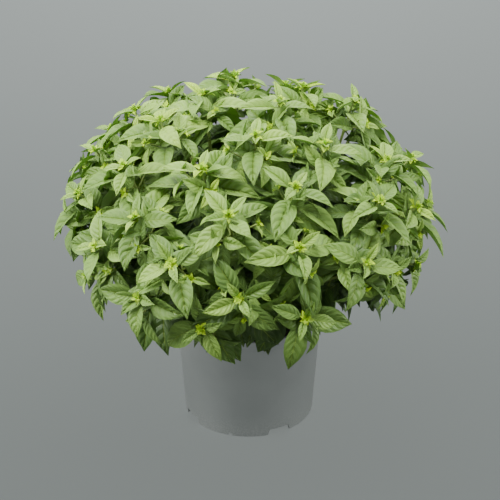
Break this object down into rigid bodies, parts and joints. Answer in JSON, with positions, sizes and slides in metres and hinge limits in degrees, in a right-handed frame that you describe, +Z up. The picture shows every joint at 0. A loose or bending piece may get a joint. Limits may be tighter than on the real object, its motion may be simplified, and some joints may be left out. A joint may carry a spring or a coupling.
{
  "type": "potted basil plant",
  "caption": "Bushy basil plant with a round crown of pointed leaves, growing in a plain tapered nursery pot with a notched foot.",
  "frame": {"origin": "on the floor, under the middle of the pot and of the crown of leaves", "axes": "+Z up, out of the pot; -Y is the front; +X to the right seen from the front"},
  "size_m": [0.3625, 0.3693, 0.3343],
  "materials": {
    "pot_plastic": "grey moulded plastic, faintly mottled, satin matt",
    "peat": "damp peat and bark compost",
    "green_stem": "square green herb stem",
    "leaf": "soft green leaf with sunken veins, slightly translucent"
  },
  "bodies": {
    "root": {"pot": "pot_plastic", "soil": "peat", "stem_1": "green_stem", "stem_2": "green_stem", "stem_3": "green_stem", "stem_4": "green_stem", "stem_5": "green_stem", "shoot_01": "leaf", "shoot_02": "leaf", "shoot_03": "leaf", "shoot_04": "leaf", "shoot_05": "leaf", "shoot_06": "leaf", "shoot_07": "leaf", "shoot_08": "leaf", "shoot_09": "leaf", "shoot_10": "leaf", "shoot_11": "leaf", "shoot_12": "leaf", "shoot_13": "leaf", "shoot_14": "leaf", "shoot_15": "leaf", "shoot_16": "leaf", "shoot_17": "leaf", "shoot_18": "leaf", "shoot_19": "leaf", "shoot_20": "leaf", "shoot_21": "leaf", "shoot_22": "leaf", "shoot_23": "leaf", "shoot_24": "leaf", "shoot_25": "leaf", "shoot_26": "leaf", "shoot_27": "leaf", "shoot_28": "leaf", "shoot_29": "leaf", "shoot_30": "leaf", "shoot_31": "leaf", "shoot_32": "leaf", "shoot_33": "leaf", "shoot_34": "leaf", "shoot_35": "leaf", "shoot_36": "leaf", "shoot_37": "leaf", "shoot_38": "leaf", "shoot_39": "leaf", "shoot_40": "leaf", "shoot_41": "leaf", "shoot_42": "leaf", "shoot_43": "leaf", "shoot_44": "leaf", "shoot_45": "leaf", "shoot_46": "leaf", "shoot_47": "leaf", "shoot_48": "leaf", "shoot_49": "leaf", "shoot_50": "leaf"}
  },
  "joints": []
}
